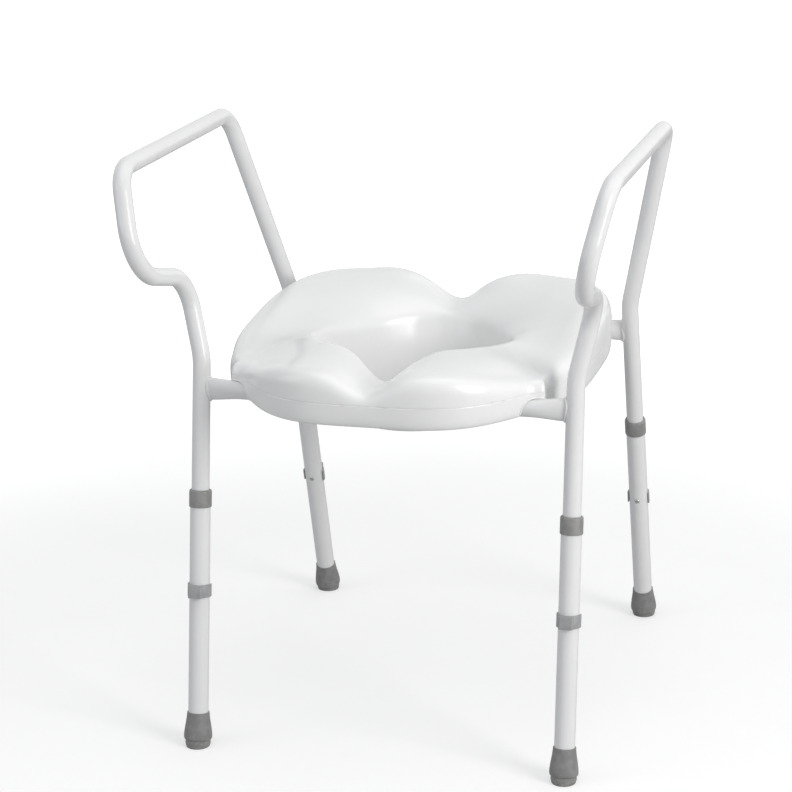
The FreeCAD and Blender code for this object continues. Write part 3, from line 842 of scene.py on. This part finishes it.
# %% Feet
TUBE_RADIUS = 12.7
FOOT_RINGS = [
    (4.0, 12.0), (TUBE_RADIUS, 12.0), (TUBE_RADIUS, 43.6), (TUBE_RADIUS + 0.3, 44.0), (13.6, 44.0),
    (14.15, 43.4), (14.2, 41.6), (14.25, 40.6), (14.5, 38.6), (14.9, 35.0), (15.7, 30.0), (16.7, 24.0),
    (17.5, 18.0),
    (17.8, 14.6), (17.8, 12.4), (17.6, 10.6), (17.1, 9.4), (16.3, 8.7), (15.7, 8.4), (15.6, 7.6), (15.9, 6.8),
    (15.9, 4.4), (15.6, 2.6), (15.0, 0.6), (14.3, -2.0), (12.0, -6.0),
]
SOLE_STEPS = (1.6, 1.3)
SOLE_DEPTH = 0.8
SOLE_EDGE = 0.3 * MM
SOLE_MERGE = 0.25 * MM


def trimmed(piece):
    """Cuts the piece off flat at the floor and closes the cut with a sole of pressed rings."""
    take(piece)
    edit("VERT")
    bpy.ops.mesh.select_all(action="SELECT")
    bpy.ops.mesh.bisect(plane_co=(0, 0, 0), plane_no=(0, 0, 1), use_fill=True, clear_inner=True,
                        threshold=0.00001)
    put_in_order()
    pick_points(piece, lambda at: at.z < SOLE_EDGE)
    bpy.ops.transform.resize(value=(1, 1, 0), center_override=(0, 0, 0))
    bpy.ops.mesh.remove_doubles(threshold=SOLE_MERGE)
    pick_faces(piece, lambda centre, normal: normal.z < -0.99 and centre.z < 0.01 * MM)
    for inward in SOLE_STEPS:
        bpy.ops.mesh.inset(thickness=inward * MM, depth=-SOLE_DEPTH * MM)
        bpy.ops.mesh.inset(thickness=inward * MM, depth=SOLE_DEPTH * MM)
    close()
    return piece


foot = turned("foot", FOOT_RINGS, solid=True)
for corner, place in leg_places.items():
    boot = trimmed(copied(foot, "ferrule_" + corner, place))
    smooth(boot, 40)
    settle(boot, "leg_" + corner, "grey_rubber", "rubber_foot_" + corner)
    sole = min(point.co.z for point in boot.data.vertices)
    print(boot.name, len(boot.data.polygons), "faces, lowest point", round(sole, 5))
discard(foot)

# %% [markdown]
# ### Collars
#
# A collar caps each lower leg and guides the tube that slides in it. It is a plain band with a rolled
# top edge, whose inner edge turns in to meet the white tube.

# %% Collars
FRAME_RADIUS = 11.1
COLLAR_OUTER = 14.1
COLLAR_LOW = 306.5
COLLAR_HIGH = 328.5
COLLAR_RINGS = [
    (TUBE_RADIUS, COLLAR_LOW), (COLLAR_OUTER - 0.5, COLLAR_LOW), (COLLAR_OUTER, COLLAR_LOW + 0.5),
    (COLLAR_OUTER, COLLAR_HIGH - 3.2), (COLLAR_OUTER - 0.15, COLLAR_HIGH - 2.0),
    (COLLAR_OUTER - 0.6, COLLAR_HIGH - 1.0), (COLLAR_OUTER - 1.3, COLLAR_HIGH - 0.35),
    (COLLAR_OUTER - 2.0, COLLAR_HIGH - 0.1), (FRAME_RADIUS + 0.5, COLLAR_HIGH - 0.3),
    (FRAME_RADIUS + 0.12, COLLAR_HIGH - 0.9), (FRAME_RADIUS + 0.1, COLLAR_HIGH - 7.0),
    (TUBE_RADIUS, COLLAR_HIGH - 7.0),
]
collar = turned("collar", COLLAR_RINGS, solid=False)
for corner, place in leg_places.items():
    band = copied(collar, "collar_band_" + corner, place)
    smooth(band, 30)
    settle(band, "leg_" + corner, "collar_plastic", "leg_collar_" + corner)
discard(collar)
print("collars have", len(band.data.polygons), "faces each")

# %% [markdown]
# ### Height clips
#
# A height clip is a U of springy plastic round the leg, with a square head over the pin. The CAD solid
# has the right faces but sharp edges. A copy of it is merged, its triangles are joined into flat faces,
# and a bevel rounds its edges as a mould would.

# %% Height clips, saddle clips
CLIP_ROUNDING = 0.45 * MM
SADDLE_ROUNDING = 0.4 * MM
SAME_POINT = 0.005 * MM


def softened(node, name, width):
    """A copy of a CAD node with its edges rounded."""
    piece = copied(frame["nodes"][node], name)
    take(piece)
    piece.parent = None
    bpy.ops.mesh.customdata_custom_splitnormals_clear()
    edit("VERT")
    bpy.ops.mesh.select_all(action="SELECT")
    bpy.ops.mesh.remove_doubles(threshold=SAME_POINT)
    bpy.ops.mesh.dissolve_limited(angle_limit=math.radians(1.0))
    close()
    finish_with(piece, "BEVEL", width=width, segments=3, limit_method="ANGLE", angle_limit=math.radians(40),
                use_clamp_overlap=True)
    smooth(piece, 35)
    return piece


for corner in CORNERS:
    clip = softened("height_clip_" + corner, "spring_clip_" + corner, CLIP_ROUNDING)
    settle(clip, "clip_" + corner, "clip_plastic", "height_clip_" + corner)
    saddle = softened("saddle_clip_" + corner, "seat_saddle_" + corner, SADDLE_ROUNDING)
    settle(saddle, "seat", "hidden_plastic", "saddle_clip_" + corner)
print("clips have", len(clip.data.polygons), "faces, saddles", len(saddle.data.polygons))

# %% [markdown]
# ### Screws
#
# The saddle clips are held by pan-head screws, seen only from below. A screw is round, so it comes off
# the lathe too, with its head, the ridges of its thread and its point in one. A cross is then cut into
# the head with two thin blocks.

# %% Screws
SCREW_HEAD_HEIGHT = 2.4
THREAD_CREST = 2.0
THREAD_ROOT = 1.6
THREAD_PITCH = 1.4
THREAD_START = 0.4
SCREW_POINT = 1.8
CROSS_WIDTH = 0.8 * MM
CROSS_LENGTH = 4.0 * MM
CROSS_DEPTH = 1.2 * MM
SCREW_SPACING = 16.0 * MM
FLANGE_REACH = 14.0 * MM
screw_low, screw_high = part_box("saddle_screws")
SHANK_LENGTH = (screw_high.z - screw_low.z) / MM - SCREW_HEAD_HEIGHT


def screw_rings():
    """Half of the screw's outline, from the face of its head up to its point."""
    head = [(2.0, -SCREW_HEAD_HEIGHT), (2.9, -2.3), (3.5, -1.95), (3.85, -1.4), (4.0, -0.7), (4.0, -0.15),
            (3.85, 0.0), (THREAD_CREST, 0.0)]
    thread = []
    for turn in range(int((SHANK_LENGTH - THREAD_START - SCREW_POINT) / THREAD_PITCH)):
        start = THREAD_START + turn * THREAD_PITCH
        thread += [(THREAD_ROOT, start), (THREAD_ROOT, start + THREAD_PITCH * 0.4),
                   (THREAD_CREST, start + THREAD_PITCH * 0.65), (THREAD_CREST, start + THREAD_PITCH * 0.75)]
    return head + thread + [(THREAD_ROOT, SHANK_LENGTH - SCREW_POINT), (0.3, SHANK_LENGTH)]


def cross_screw():
    """A screw that points up, with the underside of its head at z = 0."""
    screw = turned("screw", screw_rings(), solid=True)
    for turn in (0, math.pi / 2):
        let_go()
        bpy.ops.mesh.primitive_cube_add(size=1, location=(0, 0, -SCREW_HEAD_HEIGHT * MM),
                                        rotation=(0, 0, turn))
        blade = bpy.context.active_object
        blade.scale = (CROSS_WIDTH, CROSS_LENGTH, 2 * CROSS_DEPTH)
        bpy.ops.object.transform_apply(location=True, rotation=True, scale=True)
        finish_with(screw, "BOOLEAN", operation="DIFFERENCE", solver="EXACT", object=blade)
        discard(blade)
    return screw


screw_model = cross_screw()
copies = []
for corner in CORNERS:
    low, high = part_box("saddle_clip_" + corner)
    inward = 1 if corner.startswith("front") else -1
    edge = high.y if inward > 0 else low.y
    for side in (-1, 1):
        across = (low.x + high.x + side * SCREW_SPACING) / 2
        place = Vector((across, edge - inward * FLANGE_REACH / 2, low.z))
        copies.append(copied(screw_model, "screw", Matrix.Translation(place)))
screws = join(copies, "cross_head_screws")
discard(screw_model)
smooth(screws, 35)
settle(screws, "seat", "plain_steel", "saddle_screws")
screw_heights = [point.co.z for point in screws.data.vertices]
print("screws reach from", round(min(screw_heights), 4), "to", round(max(screw_heights), 4))
print("the CAD ones reach from", round(screw_low.z, 4), "to", round(screw_high.z, 4))

# %% [markdown]
# ### Weld beads
#
# Each crossbar's squashed end is welded all round to the leg, and the powder coat runs over the bead.
# The bead's line is where the bar's oval end meets the round tube. A curve follows it, and its radius
# swells and shrinks from drop to drop, which leaves the ripples of a hand-made weld.

# %% Welds
BEAD_RADIUS = 1.7 * MM
BEAD_RIPPLE = 0.10
DROPS = 34
STEPS_PER_DROP = 6
BAR_END_HALF_HEIGHT = 14.2
BAR_END_HALF_DEPTH = 6.8
BEAD_SINK = 0.7 * MM
LEG_OFFSET = abs(joints["leg_height_front_right"]["pos_m"][0])


def weld_bead(middle, side, lean):
    """The bead round one end of a crossbar; lean is the slope of the tube that it is welded to."""
    count = DROPS * STEPS_PER_DROP
    curve = bpy.data.curves.new("bead", "CURVE")
    curve.dimensions = "3D"
    curve.bevel_depth = BEAD_RADIUS
    curve.bevel_resolution = 5
    spline = curve.splines.new("POLY")
    spline.points.add(count - 1)
    spline.use_cyclic_u = True
    for number, point in enumerate(spline.points):
        angle = 2 * math.pi * number / count
        y = BAR_END_HALF_DEPTH * math.cos(angle) * MM
        z = BAR_END_HALF_HEIGHT * math.sin(angle) * MM
        off_axis = (y - z * math.tan(lean)) * math.cos(lean)
        toward = math.sqrt((FRAME_RADIUS * MM) ** 2 - off_axis ** 2)
        x = LEG_OFFSET - toward - BEAD_SINK
        point.co = (side * x, middle.y + y, middle.z + z, 1.0)
        point.radius = 1 + BEAD_RIPPLE * abs(math.sin(math.pi * number / STEPS_PER_DROP))
    bead = bpy.data.objects.new("bead", curve)
    bpy.context.scene.collection.objects.link(bead)
    take(bead)
    bpy.ops.object.convert(target="MESH")
    return bpy.context.active_object


front_up = -Vector(joints["leg_height_front_right"]["axis"])
rear_up = -Vector(joints["leg_height_rear_right"]["axis"])
leans = (math.atan2(front_up.y, front_up.z), math.atan2(rear_up.y, rear_up.z))
beads = [weld_bead(middle, side, lean) for middle, lean in zip(bar_lines, leans) for side in (-1, 1)]
welds = join(beads, "weld_beads")
smooth(welds, 60)
settle(welds, "frame", "white_enamel", "crossbar_welds")
print("welds have", len(welds.data.polygons), "faces")

# %% [markdown]
# ## The studio
#
# A product like this is lit softly from above and from its right, on white. The floor is pale and takes
# only a faint shadow. What the eye sees behind the object is a plain white world, while the light that
# falls on the object comes from a dimmer one, so that white parts keep their shading.

# %% Floor and world
NEAR_FLOOR = 0.6
FAR_FLOOR = 2.2
NEAR_GLOW = 0.50
ROOM_LIGHT = 0.44

let_go()
bpy.ops.mesh.primitive_plane_add(size=40.0)
floor = bpy.context.active_object
floor.name = "floor"
paper = Finish("floor_paper", Roughness=0.9, Specular_IOR_Level=0.1, Emission_Color=(1, 1, 1, 1))
paper.colour(paper.tint(paper.effect(blotches, Size=0.8), (0.54, 0.54, 0.54), (0.56, 0.56, 0.56)))
reach = paper.tree.nodes.new("ShaderNodeVectorMath")
reach.operation = "LENGTH"
paper.tree.links.new(paper.position, reach.inputs[0])
glow = range_node(paper.tree, reach.outputs["Value"], NEAR_FLOOR, FAR_FLOOR, NEAR_GLOW, 1.0)
seen_by = paper.tree.nodes.new("ShaderNodeLightPath")
paper.tree.links.new(math_node(paper.tree, "MULTIPLY", seen_by.outputs["Is Camera Ray"], glow),
                     paper.shader.inputs["Emission Strength"])
floor.data.materials.append(paper.material)

world = bpy.data.worlds.new("studio")
bpy.context.scene.world = world
world.use_nodes = True
sky = world.node_tree
sky.nodes.clear()
seen = sky.nodes.new("ShaderNodeBackground")
seen.inputs["Color"].default_value = (1, 1, 1, 1)
seen.inputs["Strength"].default_value = 1.0
lighting = sky.nodes.new("ShaderNodeBackground")
lighting.inputs["Color"].default_value = (0.96, 0.98, 1.0, 1)
lighting.inputs["Strength"].default_value = ROOM_LIGHT
path = sky.nodes.new("ShaderNodeLightPath")
direct = math_node(sky, "MAXIMUM", path.outputs["Is Camera Ray"], path.outputs["Is Transmission Ray"])
choice = sky.nodes.new("ShaderNodeMixShader")
sky.links.new(math_node(sky, "MAXIMUM", direct, path.outputs["Is Glossy Ray"]), choice.inputs["Fac"])
sky.links.new(lighting.outputs["Background"], choice.inputs[1])
sky.links.new(seen.outputs["Background"], choice.inputs[2])
sky.links.new(choice.outputs["Shader"], sky.nodes.new("ShaderNodeOutputWorld").inputs["Surface"])
print("floor and world ready")


# %% Lamps
def lamp(name, place, aim, size, power, colour=(1, 1, 1)):
    data = bpy.data.lights.new(name, "AREA")
    data.shape = "RECTANGLE"
    data.size, data.size_y = size
    data.energy = power
    data.color = colour
    body = bpy.data.objects.new(name, data)
    body.location = place
    body.rotation_euler = (Vector(aim) - Vector(place)).to_track_quat("-Z", "Y").to_euler()
    bpy.context.scene.collection.objects.link(body)
    return body


lamp("overhead", (0.4, -0.2, 3.6), (0, 0, 0.45), (3.4, 2.6), 28)
lamp("key", (3.28, -1.68, 1.73), (0, 0, 0.45), (1.5, 2.1), 81, (1.0, 0.99, 0.98))
lamp("fill", (-2.4, -1.6, 1.4), (0, 0, 0.4), (1.6, 1.6), 12, (0.97, 0.98, 1.0))
bpy.context.scene.view_settings.view_transform = "Standard"
print("lamps ready")
